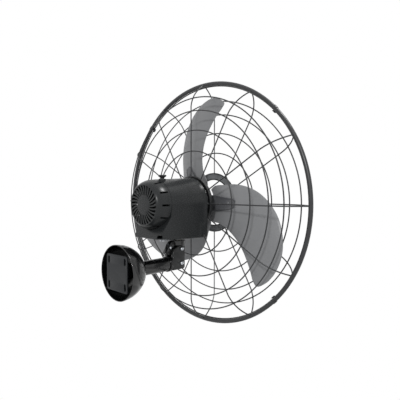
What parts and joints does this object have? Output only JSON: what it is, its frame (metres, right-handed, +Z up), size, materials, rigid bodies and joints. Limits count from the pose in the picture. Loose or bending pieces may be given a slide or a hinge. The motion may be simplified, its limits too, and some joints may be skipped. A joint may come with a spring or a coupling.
{
  "type": "wall mounted fan",
  "caption": "Wall fan with a tilting, swinging motor head on a round arm, three grey blades in a black wire grille.",
  "frame": {"origin": "centre of the wall plate's back face, where it lies on the wall", "axes": "+Y into the wall, so the fan faces -Y; +Z up; +X to the right of someone who faces the wall"},
  "size_m": [0.5988, 0.3021, 0.5988],
  "materials": {
    "plate_paint": "dark grey powder coat, satin",
    "canopy_gloss": "glossy black moulded dome",
    "grommet_rubber": "matt black rubber",
    "arm_paint": "glossy black paint on steel tube",
    "bracket_paint": "satin black paint on cast and cut steel",
    "housing_paint": "charcoal powder coat, satin",
    "wire_paint": "dark grey dip paint on steel wire",
    "rear_ring_paint": "black paint on pressed steel",
    "front_ring_paint": "grey paint on pressed steel",
    "blade_paint": "mid grey semi-gloss paint on sheet aluminium",
    "spider_paint": "black paint on pressed steel and cast hub",
    "zinc": "bright zinc-plated fasteners",
    "steel": "turned and laminated bare steel",
    "cast_alloy": "as-cast aluminium alloy",
    "copper_wire": "enamelled copper wire",
    "gear_brass": "cut brass",
    "nylon": "natural nylon",
    "knob_plastic": "black moulded knob",
    "capacitor_case": "black potted case"
  },
  "bodies": {
    "mount": {"wall_plate": "plate_paint", "canopy": "canopy_gloss", "canopy_grommet": "grommet_rubber", "arm_tube": "arm_paint", "arm_set_screw": "zinc", "arm_end_ring": "arm_paint", "arm_fork": "bracket_paint", "tilt_pivot_bolt": "zinc", "tilt_pivot_nut": "zinc", "tilt_lock_bolt": "zinc"},
    "wing_nut": {"tilt_wing_nut": "zinc"},
    "neck": {"tilt_neck": "bracket_paint", "swivel_pin": "steel", "swivel_washer": "nylon", "link_stud": "zinc"},
    "link": {"oscillation_link": "zinc"},
    "head": {"motor_housing": "housing_paint", "front_cover": "housing_paint", "rear_cover": "housing_paint", "front_cover_screw_left": "zinc", "front_cover_screw_right": "zinc", "front_bell": "cast_alloy", "rear_bell": "cast_alloy", "front_bearing": "steel", "rear_bearing": "steel", "stator_core": "steel", "winding_front": "copper_wire", "winding_rear": "copper_wire", "capacitor": "capacitor_case", "gearbox_case": "cast_alloy", "gearbox_lid": "cast_alloy", "rear_guard": "wire_paint", "front_guard": "wire_paint", "rear_centre_ring": "rear_ring_paint", "front_centre_ring": "front_ring_paint", "ring_screw_1": "zinc", "ring_screw_2": "zinc", "ring_screw_3": "zinc", "guard_clip_1": "zinc", "guard_clip_2": "zinc", "guard_clip_3": "zinc", "guard_clip_4": "zinc"},
    "crank": {"oscillation_crank": "steel", "crank_gear": "nylon"},
    "worm_wheel": {"worm_wheel": "gear_brass"},
    "knob": {"oscillation_knob": "knob_plastic"},
    "rotor": {"motor_shaft": "steel", "rotor_core": "steel", "worm": "gear_brass", "fan_hub": "spider_paint", "hub_clamp_ring": "spider_paint", "fan_spider": "spider_paint", "hub_cap_nut": "spider_paint", "blade_1": "blade_paint", "blade_2": "blade_paint", "blade_3": "blade_paint", "blade_rivet_1": "zinc", "blade_rivet_2": "zinc", "blade_rivet_3": "zinc"}
  },
  "joints": [
    {"name": "tilt", "type": "hinge", "parent": "mount", "child": "neck", "pos_m": [0, -0.1705, 0], "axis": [-1, 0, 0], "range_deg": [-25, 5]},
    {"name": "swing", "type": "hinge", "parent": "neck", "child": "head", "pos_m": [0, -0.1705, 0.054], "axis": [0, 0, 1], "range_deg": [-40, 40]},
    {"name": "link_turn", "type": "hinge", "parent": "neck", "child": "link", "pos_m": [0.014, -0.1705, 0.0543], "axis": [0, 0, 1], "range_deg": [-38, 38]},
    {"name": "crank_turn", "type": "hinge", "parent": "head", "child": "crank", "pos_m": [0, -0.1325, 0.06], "axis": [0, 0, 1], "range_deg": [-61, 61]},
    {"name": "worm_wheel_turn", "type": "hinge", "parent": "head", "child": "worm_wheel", "pos_m": [-0.013, -0.1124, 0.139], "axis": [0, 0, 1], "range_deg": [-242, 242]},
    {"name": "blade_spin", "type": "hinge", "parent": "head", "child": "rotor", "pos_m": [0, -0.263, 0.139], "axis": [0, 1, 0], "continuous": true},
    {"name": "knob_pull", "type": "slide", "parent": "head", "child": "knob", "axis": [0, 0, 1], "range_m": [0, 0.008]},
    {"name": "wing_nut_turn", "type": "hinge", "parent": "mount", "child": "wing_nut", "pos_m": [0.014, -0.1705, 0.0338], "axis": [1, 0, 0], "range_deg": [0, 360]}
  ],
  "couplings": [
    {"joint": "link_turn", "follows": "swing", "ratio": 0.93648},
    {"joint": "crank_turn", "follows": "swing", "ratio": -1.5078},
    {"joint": "worm_wheel_turn", "follows": "swing", "ratio": 6.0312}
  ]
}
